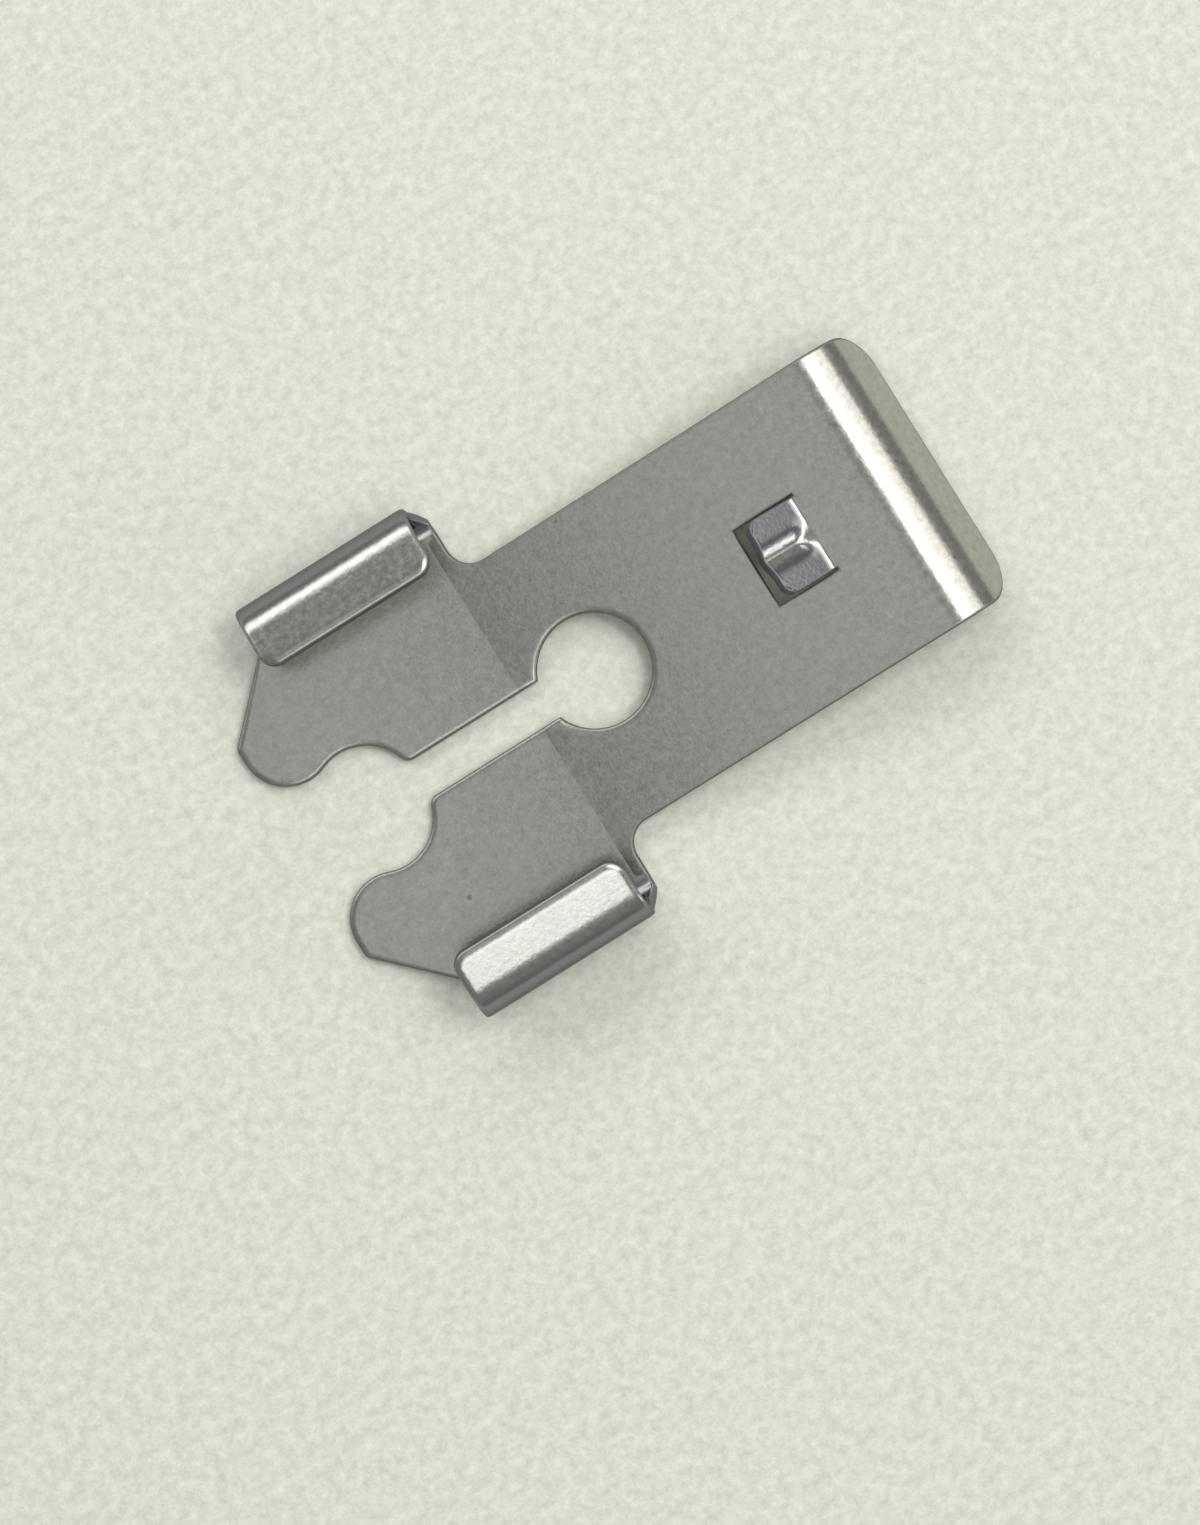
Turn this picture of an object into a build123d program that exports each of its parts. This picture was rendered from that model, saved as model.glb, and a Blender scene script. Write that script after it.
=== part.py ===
from build123d import *
import os
from math import atan2, cos, degrees, radians, sin, sqrt

# Retaining clip: one strip of spring steel, blanked, pierced and folded into a single piece.
# Millimetres. +X runs along the clip from the tips of its two legs to its foot, +Z is up from
# the surface that it stands on, and its two halves mirror each other across the XZ plane.
# The origin is the middle of the clip's length and width, on the surface under it.

# The strip
sheet = 0.45                 # thickness
keyhole_roll = 0.18          # rounding of the upper edges along the keyhole, mouth and tips
side_roll = 0.1              # rounding of the upper edges along the sides and round the foot

# Body plate, from the set line, where it leaves the plane of the legs, to the bend of the foot
body_length = 16.55
body_width = 12.7
shoulder_length = 0.55       # part of the plate that is still as wide as the legs
shoulder_fillet = 1.1

# Foot, rolled down from the end of the body plate
foot_inside_radius = 2.3
foot_angle = 56.0            # turned through, in degrees
foot_flat = 1.35
foot_corner = 1.8

# Keyhole: a round hole in the body plate, and a slot out of it between the legs
hole_diameter = 4.8
hole_from_set_line = 3.1
slot_width = 1.75

# Mouth of the slot, between the tips
slot_corner = 0.5
scallop_radius = 2.2
scallop_width = 5.4          # mouth at its widest
lobe_radius = 1.95
lobe_overhang = 0.3          # how far each lobe closes in on the mouth again

# Legs
leg_length = 11.25           # set line to tips
tip_flat = 0.7               # straight end of a tip, from its lobe to its outer corner
tip_corner = 0.4

# Ears, folded up and inwards from the outer edges of the legs
ear_span = 19.6              # over the folds of both ears
ear_length = 8.2
ear_inside_radius = 1.25
ear_angle = 165.0            # turned through, in degrees
ear_flat = 1.7
ear_corner = 0.75
ear_roll = 0.15              # rounding of the outer edges along the ends and the free edge
ear_root_angle = 70.0        # the root of the ear stops short of the ear, part way round the fold
ear_root_taper = 0.7         # how far in from its end it starts to taper

# Locking tongue, cut free on three sides in the body plate and bent up
tongue_hinge_to_foot = 2.75  # hinge to the bend of the foot
tongue_width = 3.45
tongue_gap = 0.08            # cut round the tongue, on each side
tongue_inside_radius = 0.5
tongue_angle = 33.0          # turned through, in degrees
tongue_flat = 2.3
tongue_corner = 0.55
groove_radius = 1.35         # stiffening groove along the tongue, in its upper face
groove_depth = 0.26
groove_start = 0.5           # from the end of the bend to the full depth of the groove

# Places in the side view that follow from the bends, measured along and square to the body
# plate. The set angle of the body plate is the one that brings the legs level while the free
# edge of the foot stands on the same surface.
foot_turn = radians(foot_angle)
foot_reach = body_length + foot_inside_radius * sin(foot_turn) + foot_flat * cos(foot_turn)
foot_drop = foot_inside_radius * (1 - cos(foot_turn)) + foot_flat * sin(foot_turn)
set_turn = atan2(foot_drop, foot_reach)
slope = Vector(cos(set_turn), 0, sin(set_turn))

# How far the foot reaches past the set line, at the rolled outer edge of its free end
foot_edge = foot_reach + sheet * sin(foot_turn)
foot_edge_height = -foot_drop + sheet * cos(foot_turn)
foot_fall = foot_turn - set_turn
edge_lost = side_roll * (sin(foot_fall) + cos(foot_fall) - 1)
length_past_set_line = foot_edge * cos(set_turn) - foot_edge_height * sin(set_turn) - edge_lost
set_x = leg_length - (leg_length + length_past_set_line) / 2
tip_x = set_x - leg_length

# Frames: the body plate's underside, its side view, its cross-section at the set line, and the
# mitre that halves the set, where what is level meets what rises with the plate
set_line = Vector(set_x, 0, 0)
body_plane = Plane(origin=set_line, x_dir=slope, z_dir=slope.cross(Vector(0, 1, 0)))
body_side = Plane(origin=set_line, x_dir=slope, z_dir=(0, -1, 0))
shoulder_section = Plane(origin=set_line, x_dir=(0, 1, 0), z_dir=slope)
set_mitre = Plane(origin=set_line, x_dir=(0, 1, 0), z_dir=slope + Vector(1, 0, 0))

ear_outside_radius = ear_inside_radius + sheet
fold_y = ear_span / 2 - ear_outside_radius
shoulder_step = fold_y - body_width / 2
widest_fillet = 0.8          # of the step that it rounds
ear_x = set_x - ear_length
hinge_x = body_length - tongue_hinge_to_foot
window_length = tongue_flat + (tongue_inside_radius + sheet / 2) * radians(tongue_angle) + tongue_gap
foot_end = Vector(foot_reach, -foot_drop)
through = 2 * sheet          # reach of a cut that goes through the sheet, each way

# The foot's underside at its free edge, with x out along the foot and z out of its outer face
foot_plane = Plane(
    origin=body_side.from_local_coords(foot_end),
    x_dir=slope * cos(foot_turn) - body_plane.z_dir * sin(foot_turn),
    z_dir=slope * sin(foot_turn) + body_plane.z_dir * cos(foot_turn),
)


# Section of the strip, from its outer face inwards, along a curl that starts level
def curled_strip(radius, angle, flat):
    with BuildSketch() as section:
        with BuildLine():
            curl = JernArc(start=(fold_y, 0), tangent=(1, 0), radius=radius, arc_size=angle)
            if flat:
                Line(curl @ 1, curl @ 1 + (curl % 1) * flat)
            offset(amount=sheet, side=Side.LEFT)
        make_face()
    return section.sketch


# One leg in plan: slot edge, rounded corner, scallop, lobe, tip, slanting side and fold line
lobe_centre = Vector(tip_x + lobe_radius, scallop_width / 2 - lobe_overhang + lobe_radius)
scallop_y = scallop_width / 2 - scallop_radius
centre_distance = lobe_radius + scallop_radius
scallop_x = lobe_centre.X + sqrt(centre_distance**2 - (lobe_centre.Y - scallop_y) ** 2)
scallop_centre = Vector(scallop_x, scallop_y)
turn_point = scallop_centre + (lobe_centre - scallop_centre) * (scallop_radius / centre_distance)
slot_end_x = scallop_x + sqrt(scallop_radius**2 - (slot_width / 2 - scallop_y) ** 2)
scallop_top = scallop_centre + Vector(0, scallop_radius)
lobe_side = lobe_centre - Vector(lobe_radius, 0)
lobe_foot = lobe_centre - Vector(lobe_radius, lobe_radius) * sqrt(0.5)
tip_end = lobe_side + Vector(0, tip_flat)

with BuildPart() as leg:
    with BuildSketch() as leg_plan:
        with BuildLine():
            slot_edge = Line((set_x, slot_width / 2), (slot_end_x, slot_width / 2))
            scallop = ThreePointArc(slot_edge @ 1, scallop_top, turn_point)
            lobe = ThreePointArc(scallop @ 1, lobe_foot, lobe_side)
            Polyline(lobe @ 1, tip_end, (ear_x, fold_y), (set_x, fold_y), slot_edge @ 0)
        make_face()
        fillet(leg_plan.vertices().sort_by_distance(slot_edge @ 1)[0], slot_corner)
        fillet(leg_plan.vertices().sort_by_distance(tip_end)[0], tip_corner)
    extrude(amount=sheet)

# One ear, with the corners of its free edge rounded
with BuildPart() as ear:
    with BuildSketch(Plane.YZ.offset(ear_x)):
        add(curled_strip(ear_outside_radius, ear_angle, ear_flat))
    extrude(amount=ear_length)
    free_corners = ear.edges().filter_by(Axis.X, reverse=True).filter_by(GeomType.LINE)
    free_corners = free_corners.filter_by(lambda edge: abs(edge.length - sheet) < sheet / 10)
    fillet(free_corners.sort_by(Axis.Y)[:2], ear_corner)
    free_edges = ear.edges().filter_by(Axis.X).sort_by(Axis.Y)[:2]
    fillet(free_edges.sort_by(Axis.Z)[-1], ear_roll)
    split(bisect_by=set_mitre, keep=Keep.BOTTOM)

# The root of an ear starts inside its end, to the mitre, and from there it runs on in line with
# the body plate and tapers off as it curls up
root_end_y = fold_y + ear_outside_radius * sin(radians(ear_root_angle))
with BuildPart() as level_root:
    with BuildSketch(Plane.YZ.offset(set_x - sheet)):
        add(curled_strip(ear_outside_radius, ear_root_angle, 0))
    extrude(amount=sheet)
    split(bisect_by=set_mitre, keep=Keep.BOTTOM)

with BuildPart() as ear_root:
    with BuildSketch(shoulder_section.offset(-sheet)):
        add(curled_strip(ear_outside_radius, ear_root_angle, 0))
    extrude(amount=sheet + shoulder_length)
    split(bisect_by=set_mitre, keep=Keep.TOP)
    with BuildSketch(body_plane):
        with BuildLine():
            Polyline(
                (shoulder_length, root_end_y - ear_root_taper),
                (0, root_end_y),
                (shoulder_length, root_end_y),
                close=True,
            )
        make_face()
    extrude(amount=ear_outside_radius, mode=Mode.SUBTRACT)

# The tongue before its groove is pressed: a bend and a flat, with its free corners rounded
with BuildPart() as tongue:
    with BuildSketch(body_side) as tongue_side:
        with BuildLine():
            bend = JernArc(
                start=(hinge_x, 0),
                tangent=(-1, 0),
                radius=tongue_inside_radius + sheet,
                arc_size=-tongue_angle,
            )
            Line(bend @ 1, bend @ 1 + (bend % 1) * tongue_flat)
            offset(amount=sheet, side=Side.RIGHT)
        make_face()
    extrude(amount=tongue_width / 2, both=True)
    tongue_corners = tongue.edges().filter_by(GeomType.LINE)
    tongue_corners = tongue_corners.filter_by(lambda edge: abs(edge.length - sheet) < sheet / 10)
    fillet(tongue_corners.sort_by(Axis.X)[:2], tongue_corner)

# The groove is pressed into the upper face, and stands out under the tongue as a bead
tongue_turn = radians(tongue_angle)
bend_end = Vector(
    hinge_x - tongue_inside_radius * sin(tongue_turn),
    sheet + tongue_inside_radius * (1 - cos(tongue_turn)),
)
tongue_top = Plane(
    origin=body_side.from_local_coords(bend_end),
    x_dir=body_plane.z_dir * sin(tongue_turn) - slope * cos(tongue_turn),
    z_dir=body_plane.z_dir * cos(tongue_turn) + slope * sin(tongue_turn),
)


# Round-ended bar along the tongue, whose lowest line is the given depth under the upper face
def round_ended_bar(radius, depth):
    with BuildPart(tongue_top) as bar:
        with Locations((groove_start, 0, radius - depth)):
            Sphere(radius)
            Cylinder(
                radius,
                tongue_flat - groove_start,
                rotation=(0, 90, 0),
                align=(Align.CENTER, Align.CENTER, Align.MIN),
            )
    return bar.part


with BuildPart() as bead:
    add(round_ended_bar(groove_radius + sheet, groove_depth + sheet))
    split(bisect_by=tongue_top, keep=Keep.BOTTOM)

# Edges of the largest flats, three on each face of the strip, that look upwards
def upper_edges(builder):
    largest_flats = builder.faces().filter_by(GeomType.PLANE).sort_by(SortBy.AREA)[-6:]
    return largest_flats.filter_by(lambda face: face.normal_at().Z > 0).edges()


# Those of them at this distance from the middle plane
def upper_edges_at(builder, distance):
    nearly = sheet / 10
    return upper_edges(builder).filter_by(lambda edge: abs(abs((edge @ 0.5).Y) - distance) < nearly)


with BuildPart() as retaining_clip:
    # Body plate and foot, from the side
    with BuildSketch(body_side):
        with BuildLine():
            plate = Line((0, 0), (body_length, 0))
            roll = JernArc(
                start=plate @ 1, tangent=plate % 1, radius=foot_inside_radius, arc_size=-foot_angle
            )
            Line(roll @ 1, roll @ 1 + (roll % 1) * foot_flat)
            offset(amount=sheet, side=Side.LEFT)
        make_face()
    extrude(amount=body_width / 2, both=True)

    # Shoulders, as wide as the legs, with a fillet in each corner
    with BuildSketch(body_plane) as shoulders:
        with Locations((shoulder_length / 2, 0)):
            Rectangle(shoulder_length, 2 * fold_y)
        with Locations((shoulder_length + shoulder_fillet, 0)):
            Rectangle(2 * shoulder_fillet, body_width)
        corners = shoulders.vertices().filter_by(lambda corner: abs(corner.Y) < fold_y)
        fillet(corners.sort_by(Axis.X)[:2], min(shoulder_fillet, shoulder_step * widest_fillet))
    extrude(amount=sheet)

    # Legs, with the keyhole between them
    add(leg.part)
    mirror(leg.part, about=Plane.XZ)
    with BuildSketch(body_plane):
        with Locations((hole_from_set_line, 0)):
            Circle(hole_diameter / 2)
            Rectangle(hole_from_set_line + sheet, slot_width, align=(Align.MAX, Align.CENTER))
    extrude(amount=through, both=True, mode=Mode.SUBTRACT)

    # Upper edges that the punch rolled over, round the hole and from the slot to the folds of the
    # ears. A fillet runs on from the edge that is picked here through every tangent edge after it.
    slot_rim = upper_edges_at(retaining_clip, slot_width / 2)
    hole_rim = upper_edges(retaining_clip).filter_by(GeomType.CIRCLE).sort_by(SortBy.LENGTH)[-1:]
    fillet(slot_rim + hole_rim, keyhole_roll)

    # Ears and their roots
    for piece in (ear, level_root, ear_root):
        add(piece.part)
        mirror(piece.part, about=Plane.XZ)

    # Tongue, in the window that it leaves
    with BuildSketch(body_plane):
        with Locations((hinge_x, 0)):
            Rectangle(window_length, tongue_width + 2 * tongue_gap, align=(Align.MAX, Align.CENTER))
    extrude(amount=through, both=True, mode=Mode.SUBTRACT)
    add(tongue.part)
    add(bead.part)
    add(round_ended_bar(groove_radius, groove_depth), mode=Mode.SUBTRACT)

    # Corners of the foot
    with BuildSketch(foot_plane):
        for side in (-1, 1):
            with Locations((0, side * body_width / 2)):
                Rectangle(2 * foot_corner, 2 * foot_corner)
        for side in (-1, 1):
            with Locations((-foot_corner, side * (body_width / 2 - foot_corner))):
                Circle(foot_corner, mode=Mode.SUBTRACT)
    extrude(amount=through, both=True, mode=Mode.SUBTRACT)

    # Rolled upper edges along both sides, from the roots of the ears round the foot
    fillet(upper_edges_at(retaining_clip, body_width / 2), side_roll)

retaining_clip.part.label = "retaining_clip"
print("set angle", round(degrees(set_turn), 2), "volume", round(retaining_clip.part.volume, 2))
print(retaining_clip.part.bounding_box())
os.makedirs("parts", exist_ok=True)
export_step(retaining_clip.part, "parts/retaining_clip.step")
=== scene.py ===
# %% [markdown]
# # A retaining clip of spring steel
#
# The real clip starts as a flat blank: a press punches its outline, its keyhole and the three
# sides of its tongue out of one strip, and then folds it. This script makes it the same way. It
# draws half of the blank, mirrors it, folds it, gives the sheet its thickness and rolls its edges
# over, and only then comes to the steel, the floor, the lights and the camera.

import math

import bmesh
import bpy
from mathutils import Matrix, Vector


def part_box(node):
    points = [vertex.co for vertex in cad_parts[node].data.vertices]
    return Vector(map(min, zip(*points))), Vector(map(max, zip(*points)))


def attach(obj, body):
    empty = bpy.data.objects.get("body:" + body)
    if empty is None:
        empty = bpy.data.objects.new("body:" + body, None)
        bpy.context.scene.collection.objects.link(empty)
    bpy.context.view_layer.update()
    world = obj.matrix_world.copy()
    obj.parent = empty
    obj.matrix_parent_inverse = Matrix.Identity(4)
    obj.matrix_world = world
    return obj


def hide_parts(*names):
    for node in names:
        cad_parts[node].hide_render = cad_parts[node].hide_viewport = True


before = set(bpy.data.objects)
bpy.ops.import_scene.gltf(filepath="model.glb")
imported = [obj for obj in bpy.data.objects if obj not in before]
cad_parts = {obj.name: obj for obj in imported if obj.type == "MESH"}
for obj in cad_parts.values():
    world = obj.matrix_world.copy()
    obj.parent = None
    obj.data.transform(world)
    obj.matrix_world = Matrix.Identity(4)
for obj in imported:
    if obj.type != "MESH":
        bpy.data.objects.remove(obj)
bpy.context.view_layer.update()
clip_low, clip_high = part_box("retaining_clip")
print("the clip measures", [round(1000 * side, 2) for side in clip_high - clip_low], "mm")

# %% [markdown]
# ## Sizes
#
# Blender works in metres, where this clip is only 0.03 long. The blank is therefore drawn in
# millimetres, which keeps every number readable, and scaled once at the end. The places of the
# tips and of the ears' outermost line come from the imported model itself.

# %% Driving sizes of the blank, in millimetres
MM = 0.001
sheet = 0.45

body_length, body_width = 16.55, 12.7
shoulder_length, shoulder_fillet = 0.55, 1.1

foot_inside_radius, foot_angle = 2.3, 56.0
foot_flat, foot_corner = 1.35, 1.8

hole_radius, hole_from_set_line, slot_width = 2.4, 3.1, 1.75
slot_corner, scallop_radius, scallop_width = 0.5, 2.2, 5.4
lobe_radius, lobe_overhang = 1.95, 0.3

leg_length, tip_flat, tip_corner = 11.25, 0.7, 0.4

ear_length, ear_inside_radius, ear_angle = 8.2, 1.25, 165.0
ear_flat, ear_corner = 1.7, 0.75
ear_root_angle, ear_root_taper = 70.0, 0.7

tongue_hinge_to_foot, tongue_width, tongue_gap = 2.75, 3.45, 0.08
tongue_inside_radius, tongue_angle = 0.5, 33.0
tongue_flat, tongue_corner = 2.3, 0.55
groove_radius, groove_depth, groove_start = 1.35, 0.26, 0.5

# %% Places that follow from them
tip_x = clip_low.x / MM
set_x = tip_x + leg_length
ear_x = set_x - ear_length
ear_radius = ear_inside_radius + sheet
fold_y = clip_high.y / MM - ear_radius
shoulder_x = set_x + shoulder_length
foot_x = set_x + body_length
hinge_x = foot_x - tongue_hinge_to_foot
hole_x = set_x + hole_from_set_line

foot_turn, ear_turn = math.radians(foot_angle), math.radians(ear_angle)
foot_reach = body_length + foot_inside_radius * math.sin(foot_turn) + foot_flat * math.cos(foot_turn)
foot_drop = foot_inside_radius * (1 - math.cos(foot_turn)) + foot_flat * math.sin(foot_turn)
set_turn = math.atan2(foot_drop, foot_reach)
mitre = math.tan(set_turn / 2)
ear_top = ear_radius * (1 - math.cos(ear_turn)) + ear_flat * math.sin(ear_turn)
ear_end_x = set_x - ear_top * mitre
print("set line at", round(set_x, 2), "mm, set by", round(math.degrees(set_turn), 2), "degrees")

# %% [markdown]
# ## Bends as short flats
#
# A fold in sheet metal is an arc. Here it is a run of narrow flats, cut into the blank where the
# fold will be, and turned a few degrees each. The length of a flat is the chord of its share of
# the arc, so every corner lies exactly on the true radius. A curve modifier could bend the sheet
# in one go, but it would not say where the fold starts or how tight it is.


# %% A bend: its lines in the flat blank, and how far the sheet turns at each
class Bend:
    def __init__(self, start, radius, degrees, flats):
        self.turn = math.radians(degrees) / flats
        self.chord = 2 * radius * math.sin(abs(self.turn) / 2)
        self.flats = flats
        self.lines = [start + self.chord * i for i in range(flats + 1)]
        self.end = self.lines[-1]

    def place(self, degrees):
        """Where a point that lies this far round the bend is in the flat blank."""
        return self.lines[0] + self.chord * math.radians(degrees) / abs(self.turn)


ear_bend = Bend(fold_y, ear_radius, ear_angle, 30)
foot_bend = Bend(foot_x, foot_inside_radius, -foot_angle, 16)
tongue_bend = Bend(-hinge_x, tongue_inside_radius + sheet, tongue_angle, 6)
ear_end_y = ear_bend.end + ear_flat
foot_end_x = foot_bend.end + foot_flat
tongue_end_x = -(tongue_bend.end + tongue_flat)
print("the blank is", round(foot_end_x - tip_x, 1), "by", round(2 * ear_end_y, 1), "mm")

# %% [markdown]
# ## The pen
#
# A blank is straight lines, arcs and rounded corners. The pen below draws them as a designer does
# on paper. A line extrudes the last vertex, and an arc spins it round a centre, so no list of
# points is needed and every corner keeps its true radius.


# %% A pen that draws an outline in a bmesh
class Pen:
    def __init__(self, bm, x, y):
        self.bm = bm
        self.tip = bm.verts.new((x, y, 0))

    def line(self, x, y):
        made = bmesh.ops.extrude_vert_indiv(self.bm, verts=[self.tip])
        self.tip = made["verts"][0]
        self.tip.co = (x, y, 0)

    def arc(self, centre, degrees, step=6.0):
        """Goes round a centre, anticlockwise for a positive angle."""
        steps = max(3, math.ceil(abs(degrees) / step))
        made = bmesh.ops.spin(
            self.bm,
            geom=[self.tip],
            cent=(centre.x, centre.y, 0),
            axis=(0, 0, 1),
            angle=math.radians(degrees),
            steps=steps,
            use_duplicate=False,
        )
        self.tip = next(g for g in made["geom_last"] if isinstance(g, bmesh.types.BMVert))

    def corner(self, x, y, next_x, next_y, radius):
        """Goes towards a corner and round it, and ends on its way to the next point."""
        corner = Vector((x, y))
        way_in = (corner - self.tip.co.xy).normalized()
        way_out = (Vector((next_x, next_y)) - corner).normalized()
        turn = way_in.angle_signed(way_out)
        run = radius * math.tan(abs(turn) / 2)
        start = corner - way_in * run
        self.line(*start)
        side = Vector((-way_in.y, way_in.x)) * (1 if turn < 0 else -1)
        self.arc(start + side * radius, -math.degrees(turn))


# %% [markdown]
# ## Half of the blank
#
# The clip mirrors itself across its length, so one half is drawn and the other follows. The pen
# starts at the right of the hole, runs along the middle line round half of the tongue's window,
# and comes back over foot, shoulder, ear, tip, lobe, scallop and slot to the rim of the hole.

# %% The circles of the mouth, each tangent to the next
mouth_half, slot_half = scallop_width / 2, slot_width / 2
lobe_centre = Vector((tip_x + lobe_radius, mouth_half - lobe_overhang + lobe_radius))
scallop_y = mouth_half - scallop_radius
scallop_run = math.sqrt((lobe_radius + scallop_radius) ** 2 - (lobe_centre.y - scallop_y) ** 2)
scallop_centre = Vector((lobe_centre.x + scallop_run, scallop_y))
corner_y = slot_half + slot_corner
corner_run = math.sqrt((scallop_radius + slot_corner) ** 2 - (corner_y - scallop_y) ** 2)
corner_centre = Vector((scallop_centre.x + corner_run, corner_y))


def bearing(centre, point):
    """Direction from a centre to a point, in degrees from the x axis."""
    return math.degrees(math.atan2(point.y - centre.y, point.x - centre.x))


# %% Draw the half blank and fill it
body_half = body_width / 2
window_half = tongue_width / 2 + tongue_gap
tongue_run = tongue_flat + (tongue_inside_radius + sheet / 2) * math.radians(tongue_angle)
window_x = hinge_x - tongue_run - tongue_gap
root_end_y = ear_bend.place(ear_root_angle)
taper_at = math.sin(math.radians(ear_root_angle)) - ear_root_taper / ear_radius
root_taper_y = ear_bend.place(math.degrees(math.asin(taper_at)))

blank = bmesh.new()
flat_place = blank.verts.layers.float_vector.new("flat_place")
share = blank.verts.layers.float.new("share")
rim_share = blank.verts.layers.float.new("rim")
# painted dark reflection: marks steel that is painted darker for the dark room it mirrors
painted_dark_reflection = blank.verts.layers.float.new("painted_dark_reflection")
corner, inward, drop = (blank.verts.layers.float_vector.new(n) for n in ("corner", "inward", "drop"))
pen = Pen(blank, hole_x + hole_radius, 0)
pen.line(window_x, 0)
pen.line(window_x, window_half)
pen.line(hinge_x, window_half)
pen.line(hinge_x, tongue_width / 2)
hinge_corner = pen.tip
pen.line(hinge_x, 0)
hinge_middle = pen.tip
pen.line(foot_end_x, 0)
pen.corner(foot_end_x, body_half, shoulder_x, body_half, foot_corner)
pen.corner(shoulder_x, body_half, shoulder_x, root_taper_y, shoulder_fillet)
pen.line(shoulder_x, root_taper_y)
pen.line(set_x, root_end_y)
pen.line(ear_end_x, ear_bend.end)
pen.corner(ear_end_x, ear_end_y, ear_x, ear_end_y, ear_corner)
pen.corner(ear_x, ear_end_y, ear_x, fold_y, ear_corner)
pen.line(ear_x, fold_y)
pen.corner(tip_x, lobe_centre.y + tip_flat, tip_x, lobe_centre.y, tip_corner)
pen.line(tip_x, lobe_centre.y)
pen.arc(lobe_centre, 180 + bearing(lobe_centre, scallop_centre))
pen.arc(scallop_centre, bearing(scallop_centre, corner_centre) - bearing(scallop_centre, lobe_centre))
pen.arc(corner_centre, 90 - bearing(scallop_centre, corner_centre))
pen.line(hole_x - math.sqrt(hole_radius**2 - slot_half**2), slot_half)
pen.arc(Vector((hole_x, 0)), -bearing(Vector((hole_x, 0)), pen.tip.co), step=4.0)
bmesh.ops.remove_doubles(blank, verts=blank.verts, dist=1e-4)
bmesh.ops.contextual_create(blank, geom=blank.edges)
print("half blank:", len(blank.verts), "corners,", len(blank.faces), "face")

# %% [markdown]
# ## Cuts at the bends, and the tongue
#
# The filled blank is one face. Bisecting it along each line of a bend leaves narrow flats, ready
# to be turned. More cuts, a tenth of a millimetre outside each bend and each side of the set line,
# keep the flats looking flat: the shading turns within them and not across a whole leg.
#
# The tongue starts as the edge at its hinge. Extruding that edge gives a flat flap that shares its
# corners with the body plate, so the steel runs on through the hinge, as it does on the real clip.

# %% Cut the blank where the ears, the set line and the foot will bend
TINY = 1e-5
SPECK = 1e-3


def cut(bm, faces, x=None, y=None):
    """Divides these faces along a line square to one axis."""
    geom = set(faces)
    for face in faces:
        geom.update(face.verts, face.edges)
    place = (x, 0, 0) if y is None else (0, y, 0)
    across = (1, 0, 0) if y is None else (0, 1, 0)
    bmesh.ops.bisect_plane(bm, geom=list(geom), dist=TINY, plane_co=place, plane_no=across)


BESIDE = 0.1
for y in (fold_y - BESIDE, *ear_bend.lines, ear_bend.end + BESIDE):
    cut(blank, blank.faces, y=y)
for x in (set_x, foot_x - BESIDE, *foot_bend.lines, foot_bend.end + BESIDE):
    cut(blank, blank.faces, x=x)
for x in (set_x - BESIDE, set_x + BESIDE):
    cut(blank, [f for f in blank.faces if f.calc_center_bounds().y < fold_y], x=x)
print("cut into", len(blank.faces), "faces")

# %% Draw the tongue out of its hinge, round its corner and cut it into a fine grid
hinge = blank.edges.get((hinge_corner, hinge_middle))
flap = bmesh.ops.extrude_edge_only(blank, edges=[hinge])["geom"]
flap_tip = [v for v in flap if isinstance(v, bmesh.types.BMVert)]
bmesh.ops.translate(blank, verts=flap_tip, vec=(tongue_end_x - hinge_x, 0, 0))
bmesh.ops.bevel(
    blank,
    geom=[max(flap_tip, key=lambda v: v.co.y)],
    offset=tongue_corner,
    offset_type="OFFSET",
    affect="VERTICES",
    segments=10,
    profile=0.5,
    material=-1,
)


def tongue_faces(bm):
    """Faces that lie between the hinge and the free end of the tongue."""
    middles = ((f, f.calc_center_median()) for f in bm.faces)
    return [f for f, c in middles if tongue_end_x < c.x < hinge_x and c.y < tongue_width / 2]


across_cuts, along_cuts = 15, 24
for i in range(1, across_cuts):
    cut(blank, tongue_faces(blank), y=tongue_width / 2 * i / across_cuts)
for line in tongue_bend.lines[1:]:
    cut(blank, tongue_faces(blank), x=-line)
for i in range(1, along_cuts):
    cut(blank, tongue_faces(blank), x=-tongue_bend.end - tongue_flat * i / along_cuts)
print("the tongue has", len(tongue_faces(blank)), "faces")

# %% [markdown]
# ## Pressing and folding
#
# The groove in the tongue is pressed while the sheet still lies flat. It is as wide and as deep as
# the imported model's, but its section is a wave, because pressing leaves its lips rounded. The folds
# come next. Each one is made from its free end inwards, because then every line still lies flat
# when its turn comes.
#
# Some places get a painted dark reflection, darker and bluish: the outside of each ear's fold,
# and the tongue on both sides of its groove. These faces lean far enough to mirror a dark part of
# the room, which the lights here do not have. Those points get a mark, a number that the mesh
# carries along and that the steel reads later as an attribute.

# %% Press the groove into the tongue
punch_radius = groove_radius + sheet
groove_half = math.sqrt(punch_radius**2 - (punch_radius - groove_depth) ** 2)
punch_start = -tongue_bend.end - groove_start


def pressed_depth(x, y):
    """How deep the groove is at a point of the flat tongue. Its end near the hinge is round."""
    from_line = min(groove_half, math.hypot(y, max(0, x - punch_start)))
    return groove_depth * (1 + math.cos(math.pi * from_line / groove_half)) / 2


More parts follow.
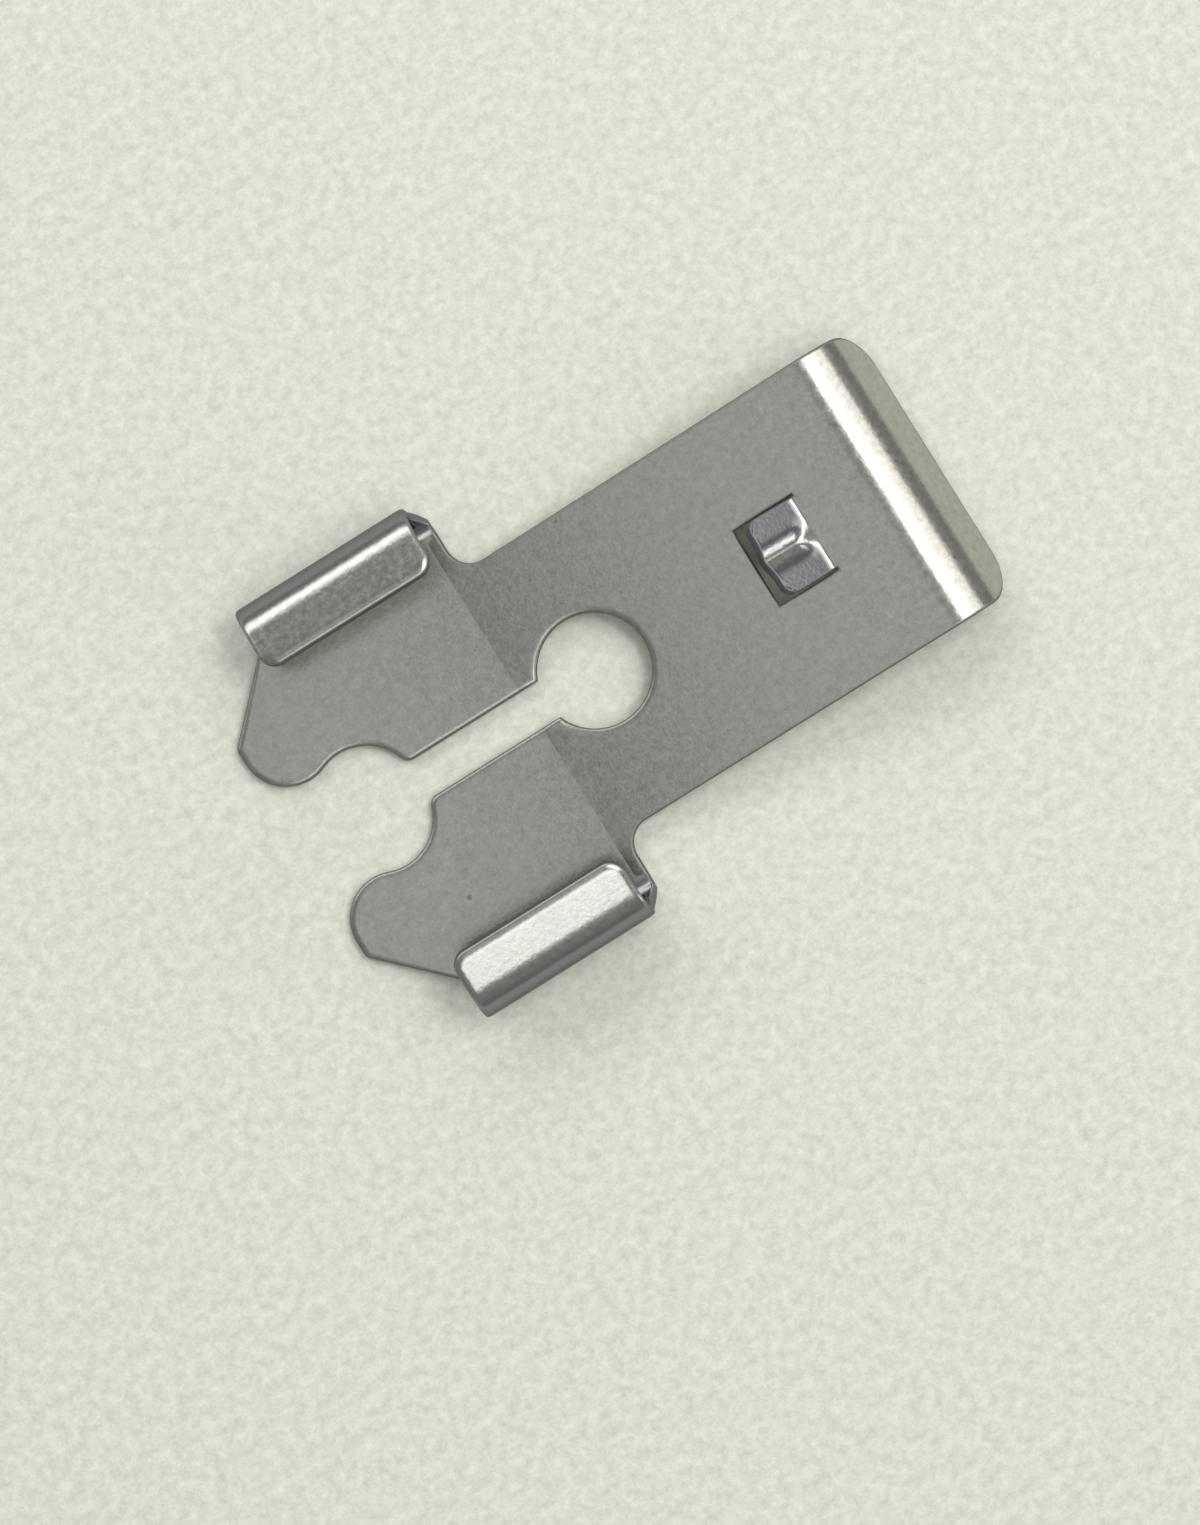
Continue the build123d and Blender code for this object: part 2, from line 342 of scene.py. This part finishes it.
tongue_points = {v for f in tongue_faces(blank) for v in f.verts}
for point in tongue_points:
    point.co.z = -pressed_depth(point.co.x, point.co.y)
inner_points = [v for v in tongue_points if not v.is_boundary and v.co.x < hinge_x - TINY]
bmesh.ops.smooth_vert(blank, verts=inner_points, factor=0.5, use_axis_z=True)
print("the groove is", round(-min(v.co.z for v in tongue_points), 3), "mm deep")

# %% Mark where a dark reflection is painted on the steel
DARK_REFLECTION_STARTS, DARK_REFLECTION_ENDS = (5, 30), (136, 150)    # degrees round an ear's bend


def ramp(value, start, end):
    """0 before start, 1 past end, and a straight rise between."""
    return min(1, max(0, (value - start) / (end - start)))


# painted dark reflection on the outside of each ear's fold
for point in blank.verts:
    point[flat_place] = (point.co.x, point.co.y, 0)
    begun, over = (ramp(point.co.y, *map(ear_bend.place, span)) for span in (DARK_REFLECTION_STARTS, DARK_REFLECTION_ENDS))
    point[painted_dark_reflection] = begun * (1 - over)
# painted dark reflection on the tongue's flanks, beside the groove
for point in tongue_points:
    past_hinge = ramp(-point.co.x, tongue_bend.lines[0], tongue_bend.end)
    point[painted_dark_reflection] = past_hinge * ramp(point.co.y, groove_half / 3, groove_half * 2 / 3)
print(sum(point[painted_dark_reflection] > 0 for point in blank.verts), "points dragged over")


# %% Fold the tongue, the ear and the foot, each from its free end inwards
def fold(bm, points, bend, along):
    """Turns the points that lie past each line of a bend. along is the way that the lines count."""
    along = Vector(along)
    axis = along.cross((0, 0, 1))
    flat = {v: v.co.dot(along) for v in points}
    for i in reversed(range(bend.flats + 1)):
        part_of_turn = 0.5 if i in (0, bend.flats) else 1.0
        beyond = [v for v, place in flat.items() if place > bend.lines[i] + TINY]
        turn = Matrix.Rotation(part_of_turn * bend.turn, 3, axis)
        bmesh.ops.rotate(bm, verts=beyond, cent=along * bend.lines[i], matrix=turn)


fold(blank, tongue_points, tongue_bend, along=(-1, 0, 0))
fold(blank, blank.verts, ear_bend, along=(0, 1, 0))
fold(blank, [v for v in blank.verts if v not in tongue_points], foot_bend, along=(1, 0, 0))
print("ears", round(max(v.co.z for v in blank.verts), 2), "mm high")

# %% [markdown]
# ## The other half, the set and the thickness
#
# Mirroring welds the two halves along the middle line. Then everything past the set line is
# turned up until the free edge of the foot stands on the same surface as the legs. The curled roots
# of the ears would run into themselves there, so both sides are first drawn back to a mitre that
# leans by half of that turn.
#
# So far the mesh is only the underside of the strip. The sheet is grown upwards from it: a copy of
# every point moves out along its own normal, a little further where faces meet at an angle (the
# shell factor), so that the inside of each bend gets its smaller radius by itself. The Solidify
# modifier does the same; by hand the push can be held back where the tongue's small folds meet.

# %% Mirror the half and weld it
bmesh.ops.mirror(
    blank,
    geom=blank.verts[:] + blank.edges[:] + blank.faces[:],
    matrix=Matrix.Identity(4),
    merge_dist=1e-4,
    axis="Y",
)
for point in blank.verts:
    point[flat_place].y = math.copysign(point[flat_place].y, point.co.y)
print("whole sheet:", len(blank.faces), "faces, open edges", sum(e.is_boundary for e in blank.edges))

# %% Set the body plate, so that the clip stands level
past_set_line = {v for v in blank.verts if v.co.x > set_x + TINY}
for v in blank.verts:
    if v in past_set_line:
        v.co.x = max(v.co.x, set_x + v.co.z * mitre)
    else:
        v.co.x = min(v.co.x, set_x - v.co.z * mitre)
bmesh.ops.rotate(
    blank, verts=list(past_set_line), cent=(set_x, 0, 0), matrix=Matrix.Rotation(-set_turn, 3, "Y")
)
before = len(blank.faces)
bmesh.ops.dissolve_degenerate(blank, edges=blank.edges[:], dist=SPECK)
print(before - len(blank.faces), "faces closed up in the mitre")
print("the foot's lowest point", round(min(v.co.z for v in blank.verts), 4), "mm")

# %% Give the sheet its thickness, upwards
WIDEST_MITRE = 1.25

bmesh.ops.recalc_face_normals(blank, faces=blank.faces)
leg_face = max((f for f in blank.faces if f.calc_center_median().x < set_x), key=lambda f: f.calc_area())
if leg_face.normal.z > 0:
    bmesh.ops.reverse_faces(blank, faces=blank.faces)
blank.normal_update()
underside = set(blank.verts)
way_up = {v.co.copy().freeze(): -v.normal * min(v.calc_shell_factor(), WIDEST_MITRE) for v in underside}
grown = bmesh.ops.extrude_face_region(blank, geom=blank.faces[:], use_keep_orig=True)
upper = {part for part in grown["geom"] if isinstance(part, bmesh.types.BMVert)}
for v in upper:
    v.co += way_up[v.co.copy().freeze()] * sheet
bmesh.ops.recalc_face_normals(blank, faces=blank.faces)
blank.normal_update()
print("now", len(blank.faces), "faces; height", round(max(v.co.z for v in blank.verts), 3), "mm")
print("lowest", round(min(v.co.z for v in blank.verts), 3))

# %% [markdown]
# ## Rolled edges
#
# A punch drags the metal over as it cuts, and tumbling rounds off what is left. The rounding is
# wide and shallow along the keyhole and the mouth, and on the outer side of the ears; elsewhere it
# is narrow. A Bevel modifier cannot change its width along one smooth rim without pulling out
# spikes, so each rim is built up here. Inset Region sets the outline back a little, the short edges
# across that band are subdivided, and every new point is placed on a quarter of an ellipse whose
# size belongs to its place in the flat blank. The innermost strip stays flat, so that the shading
# of the rounding ends there and does not spread over the large face behind it.

# %% Say how wide and how deep the rounding is at a place of the flat blank
KEYHOLE_ROLL, EAR_ROLL = Vector((0.24, 0.12)), Vector((0.36, 0.15))
SIDE_ROLL, TONGUE_ROLL = Vector((0.10, 0.10)), Vector((0.07, 0.07))
FAINT_ROLL = Vector((0.05, 0.05))
EAR_ROLL_FULL_AT = 105    # degrees round an ear's bend
tongue_reach = min(window_x, tongue_end_x)    # laid flat, the tongue is longer than its window


def upper_roll(along, across):
    """Rounding on the upper side of the legs and of the plate."""
    if tongue_reach - TINY < along < hinge_x and across < window_half + TINY:
        return TONGUE_ROLL
    if across < hole_radius + TINY and along < hole_x + hole_radius + TINY:
        return KEYHOLE_ROLL
    if along > set_x:
        return SIDE_ROLL
    mouth = KEYHOLE_ROLL.lerp(SIDE_ROLL, ramp(across, lobe_centre.y + tip_flat, fold_y))
    return mouth.lerp(FAINT_ROLL, ramp(across, fold_y, ear_bend.end))


def lower_roll(along, across):
    """Rounding on the underside, which the ears turn up to the light. Their roots hardly have any."""
    return FAINT_ROLL.lerp(EAR_ROLL, ramp(across, root_end_y, ear_bend.place(EAR_ROLL_FULL_AT)))


# %% Roll the rims over
PROBE = 0.01          # the inset that finds the band; its points are placed anew afterwards
ROLL_CUTS = 5         # cuts along the band: five strips for the curve, and one more, the flat ring
FLAT_RING = 0.3       # width of the flat ring, as a share of the rounding
SMOOTH_ROLL = 0.2     # a wider rounding is dull only at its very rim, a narrower one all across


def into(edge, face):
    """Direction in a face, square to one of its edges and away from it."""
    loop = next(loop for loop in face.loops if loop.edge == edge)
    return face.normal.cross(loop.link_loop_next.vert.co - loop.vert.co).normalized()


def roll_rim(bm, faces, size_at):
    """Rounds the outline of one side of the sheet over towards the wall round it."""
    side = set(faces)
    rim = {}
    for face in faces:
        for edge in face.edges:
            if any(f not in side for f in edge.link_faces):
                for v in edge.verts:
                    rim.setdefault(v, []).append(into(edge, face))
    for v, (one, other) in rim.items():
        width, depth = size_at(v[flat_place].x, abs(v[flat_place].y))
        down = next(e for e in v.link_edges if not any(f in side for f in e.link_faces))
        v[corner] = v.co
        v[inward] = (one + other) / (1 + one.dot(other)) * width
        v[drop] = (down.other_vert(v).co - v.co).normalized() * depth
    wall = {f for v in rim for f in v.link_faces} - side
    made = bmesh.ops.inset_region(bm, faces=faces, thickness=PROBE, use_boundary=True)
    band = set(made["faces"])
    across_band = []
    for outer in {v for f in band for v in f.verts if any(g in wall for g in v.link_faces)}:
        outer[share] = 0
        for edge in outer.link_edges:
            if all(f in band for f in edge.link_faces):
                inner = edge.other_vert(outer)
                for layer in (flat_place, corner, inward, drop):
                    inner[layer] = outer[layer]
                inner[share] = 1
                across_band.append(edge)
    bmesh.ops.subdivide_edges(bm, edges=across_band, cuts=ROLL_CUTS)
    for v in bm.verts:
        if v[drop].length > TINY:
            step = v[share] * (ROLL_CUTS + 1)
            angle = math.radians(90) * max(0, 1 - step / ROLL_CUTS)
            run_in = 1 - math.sin(angle) + FLAT_RING * max(0, step - ROLL_CUTS)
            v.co = v[corner] + v[inward] * run_in + v[drop] * (1 - math.cos(angle))
            # rim mark: torn, dull steel and painted shade, strongest at the wall
            v[rim_share] = (1 - v[share]) ** ((v[inward].length / SMOOTH_ROLL) ** 2)
            v[drop] = (0, 0, 0)
    return len(across_band)


upper_faces = [f for f in blank.faces if all(v in upper for v in f.verts)]
lower_faces = [f for f in blank.faces if all(v in underside for v in f.verts)]
print(roll_rim(blank, upper_faces, upper_roll), "points of the upper rim rolled over")
print(roll_rim(blank, lower_faces, lower_roll), "points of the lower rim rolled over")
print("now", len(blank.faces), "faces")

# %% [markdown]
# ## From blank to object
#
# The set line is marked sharp, so that legs and plate meet in a crisp crease. Smoothed over, it
# would catch a thin light line that the real crease does not have. The Weighted Normal modifier
# then lets the large flats decide the shading at their corners. Last come the two calls that say
# which body the clip rides on and hide the imported node that it stands for.

# %% Make the clip an object, in metres
for edge in blank.edges:
    on_set_line = all(abs(v[flat_place].x - set_x) < SPECK for v in edge.verts)
    if on_set_line and all(abs(v[flat_place].y) < fold_y for v in edge.verts):
        edge.smooth = False
bmesh.ops.scale(blank, verts=blank.verts, vec=(MM, MM, MM))
clip_mesh = bpy.data.meshes.new("spring_clip")
blank.to_mesh(clip_mesh)
blank.free()
clip_mesh.shade_smooth()
clip = bpy.data.objects.new("spring_clip", clip_mesh)
bpy.context.scene.collection.objects.link(clip)

level = clip.modifiers.new("level flats", "WEIGHTED_NORMAL")
level.mode = "FACE_AREA"
level.weight = 50
level.keep_sharp = True

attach(clip, "root")
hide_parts("retaining_clip")

# %% [markdown]
# ## Steel
#
# Tumbled spring steel mirrors the room softly: a bare metal with a low roughness. Two faint
# patterns, both in the clip's own coordinates, keep it from looking like plastic. A fine grain
# bends the mirror image a little, and a cloudier one makes patches slightly duller or brighter.
# A small pit in one leg and a dark speck on the edge of the plate are spots round a fixed point.
#
# Two marks that the mesh carries change the steel further. The narrow rims are darker and dull,
# partly because the punch tore them and partly as painted shade, since their walls face floor that
# lies in shade. The outside of each ear's fold and the tongue's flanks are painted darker and
# bluish: a painted dark reflection of the room that these leaning faces mirror.


# %% Helpers for node materials
def new_material(name):
    """A material, its node tree and its main shader."""
    material = bpy.data.materials.new(name)
    material.use_nodes = True
    tree = material.node_tree
    return material, tree, tree.nodes["Principled BSDF"]


def add_node(tree, kind, **settings):
    """Adds a node and sets its properties or, by input name, its sockets."""
    node = tree.nodes.new(kind)
    for key, value in settings.items():
        if hasattr(node, key):
            setattr(node, key, value)
        else:
            node.inputs[key.replace("_", " ").capitalize()].default_value = value
    return node


def remap(tree, value, before, after=(0, 1)):
    """Stretches one span of a value to another span."""
    node = tree.nodes.new("ShaderNodeMapRange")
    for socket, number in zip(("From Min", "From Max", "To Min", "To Max"), (*before, *after)):
        node.inputs[socket].default_value = number
    tree.links.new(value, node.inputs["Value"])
    return node.outputs["Result"]


def mix_in(tree, mark, plain, marked, data_type):
    """Keeps the plain value where a mark is 0 and takes the marked one where it is 1."""
    node = add_node(tree, "ShaderNodeMix", data_type=data_type)
    node.inputs["B"].default_value = marked
    tree.links.new(mark, node.inputs["Factor"])
    tree.links.new(plain, node.inputs["A"])
    return node.outputs["Result"]


# %% The steel's own tone, cloudy and a little warm
steel, tree, shader = new_material("tumbled spring steel")
place = add_node(tree, "ShaderNodeTexCoord").outputs["Object"]
grain = add_node(tree, "ShaderNodeTexNoise", scale=7000.0, detail=2.0)
cloud = add_node(tree, "ShaderNodeTexNoise", scale=3200.0, detail=6.0, roughness=0.85)
for noise in (grain, cloud):
    tree.links.new(place, noise.inputs["Vector"])

CLOUD_SPAN = (0.3, 0.7)    # the noise hardly leaves this span
tone = remap(tree, cloud.outputs["Fac"], CLOUD_SPAN, (0.38, 0.62))
less_blue = add_node(tree, "ShaderNodeMath", operation="MULTIPLY")
less_blue.inputs[1].default_value = 0.93
tree.links.new(tone, less_blue.inputs[0])
colour = add_node(tree, "ShaderNodeCombineColor")
for channel, source in (("Red", tone), ("Green", tone), ("Blue", less_blue.outputs["Value"])):
    tree.links.new(source, colour.inputs[channel])
print("steel:", len(tree.nodes), "nodes for its tone")

# %% A pit in one leg and a speck on the edge of the plate
LEG_PIT, LEG_PIT_RADIUS = (-10.49, -5.21, sheet), 0.16
PLATE_SPECK, PLATE_SPECK_RADIUS = (0.77, 6.05, 0.95), 0.14
SPOT_SHADE = 0.6


def spot(shade, centre, radius):
    """Darkens a colour round one point of the clip."""
    gap = add_node(tree, "ShaderNodeVectorMath", operation="DISTANCE")
    gap.inputs[1].default_value = Vector(centre) * MM
    tree.links.new(place, gap.inputs[0])
    fade = remap(tree, gap.outputs["Value"], (radius * MM / 3, radius * MM), (SPOT_SHADE, 1))
    dim = add_node(tree, "ShaderNodeVectorMath", operation="SCALE")
    tree.links.new(shade, dim.inputs[0])
    tree.links.new(fade, dim.inputs["Scale"])
    return dim.outputs["Vector"]


pitted = spot(colour.outputs["Color"], LEG_PIT, LEG_PIT_RADIUS)
specked = spot(pitted, PLATE_SPECK, PLATE_SPECK_RADIUS)
print("steel:", len(tree.nodes), "nodes with its spots")

# %% The marks on rims and folds, the gloss and the grain
on_rim = add_node(tree, "ShaderNodeAttribute", attribute_name="rim").outputs["Fac"]
on_painted_reflection = add_node(tree, "ShaderNodeAttribute", attribute_name="painted_dark_reflection").outputs["Fac"]
# rims: darker for torn steel and for painted shade on their walls
torn_and_shaded_rims = mix_in(tree, on_rim, specked, (0.22, 0.22, 0.20, 1), "RGBA")
# painted dark reflection: darker, bluish steel where the mark is 1
with_painted_reflection = mix_in(tree, on_painted_reflection, torn_and_shaded_rims, (0.27, 0.275, 0.295, 1), "RGBA")
tree.links.new(with_painted_reflection, shader.inputs["Base Color"])
shader.inputs["Metallic"].default_value = 1.0
shader.inputs["Specular Tint"].default_value = (0.5, 0.5, 0.5, 1)

gloss = remap(tree, cloud.outputs["Fac"], CLOUD_SPAN, (0.18, 0.26))
tree.links.new(mix_in(tree, on_rim, gloss, 0.6, "FLOAT"), shader.inputs["Roughness"])
relief = add_node(tree, "ShaderNodeBump", strength=0.25, distance=0.016 * MM)
tree.links.new(grain.outputs["Fac"], relief.inputs["Height"])
tree.links.new(relief.outputs["Normal"], shader.inputs["Normal"])
clip.data.materials.append(steel)
print("steel:", len(tree.nodes), "nodes in all")

# %% [markdown]
# ## Floor
#
# The clip lies on a matt floor, pale and slightly warm. A soft noise gives it a faint mottle, so
# that it does not look like a flat colour, and it takes the shadows that show how high the plate
# and the ears stand.

# %% The floor
bpy.ops.mesh.primitive_plane_add(size=3.0, location=(0, 0, 0))
floor = bpy.context.object
floor.name = "floor"
pale, tree, shader = new_material("pale floor")
place = add_node(tree, "ShaderNodeTexCoord").outputs["Object"]
fleck = add_node(tree, "ShaderNodeTexNoise", scale=1900.0, detail=8.0, roughness=0.8)
tree.links.new(place, fleck.inputs["Vector"])
mottle = remap(tree, fleck.outputs["Fac"], (0.35, 0.65))
shade = add_node(tree, "ShaderNodeMix", data_type="RGBA")
shade.inputs["A"].default_value = (0.72, 0.73, 0.638, 1)
shade.inputs["B"].default_value = (0.99, 0.99, 0.875, 1)
tree.links.new(mottle, shade.inputs["Factor"])
tree.links.new(shade.outputs["Result"], shader.inputs["Base Color"])
shader.inputs["Roughness"].default_value = 0.9
shader.inputs["Specular IOR Level"].default_value = 0.2
floor.data.materials.append(pale)
print("floor:", len(tree.nodes), "nodes")

# %% [markdown]
# ## Camera and light
#
# The camera looks straight down from 125 mm and is turned, so that the clip points up to the
# right. Each softbox is a bright patch in the sky. Flat steel mirrors the dim sky above it and
# looks grey; a face that leans mirrors the patch that stands at twice its lean, and turns white.
# So the places of the softboxes decide where the bright bands lie on the bends.

# %% Camera
VIEW_FROM, VIEW_TURN = Vector((-2.95, -3.34, 125)), -32

camera = bpy.data.objects.new("camera", bpy.data.cameras.new("camera"))
bpy.context.scene.collection.objects.link(camera)
camera.location = VIEW_FROM * MM
camera.rotation_euler = (0, 0, math.radians(VIEW_TURN))
camera.data.lens, camera.data.sensor_width = 71.1, 36
camera.data.clip_start = 0.001
bpy.context.scene.camera = camera
bpy.context.scene.view_settings.view_transform = "Standard"
print("camera", VIEW_FROM.z, "mm above the floor, turned by", VIEW_TURN, "degrees")

# %% The sky and the softboxes
world = bpy.data.worlds.new("studio")
bpy.context.scene.world = world
world.use_nodes = True
world.node_tree.nodes["Background"].inputs["Color"].default_value = (1.0, 1.0, 1.0, 1)
world.node_tree.nodes["Background"].inputs["Strength"].default_value = 0.28


def softbox(name, toward, off_vertical, across, along, brightness, colour):
    """An area light half a metre off, given by where it stands and how wide it looks from the clip.

    toward and off_vertical say where, across and along how wide, all in degrees.
    """
    distance = 0.5
    width, length = (2 * distance * math.tan(math.radians(angle) / 2) for angle in (across, along))
    data = bpy.data.lights.new(name, "AREA")
    data.shape = "RECTANGLE"
    data.size, data.size_y = width, length
    data.energy = brightness * math.pi * width * length
    data.color = colour
    lamp = bpy.data.objects.new(name, data)
    bpy.context.scene.collection.objects.link(lamp)
    lamp.rotation_euler = (0, math.radians(off_vertical), math.radians(toward))
    lamp.location = lamp.rotation_euler.to_matrix() @ Vector((0, 0, distance))


WHITE, WARM = (1.0, 1.0, 1.0), (1.0, 0.96, 0.90)
softbox("right softbox", 0, off_vertical=25, across=14, along=36, brightness=5.0, colour=WHITE)
softbox("right wall", 0, off_vertical=44.5, across=25, along=36, brightness=1.6, colour=WARM)
softbox("near softbox", -90, off_vertical=28, across=15, along=30, brightness=2.0, colour=WHITE)
softbox("far softbox", 90, off_vertical=56, across=22, along=84, brightness=2.0, colour=WHITE)
softbox("top softbox", 180, off_vertical=6, across=11, along=40, brightness=0.38, colour=WHITE)
softbox("streak", -42, off_vertical=75, across=12, along=12, brightness=5.0, colour=WHITE)
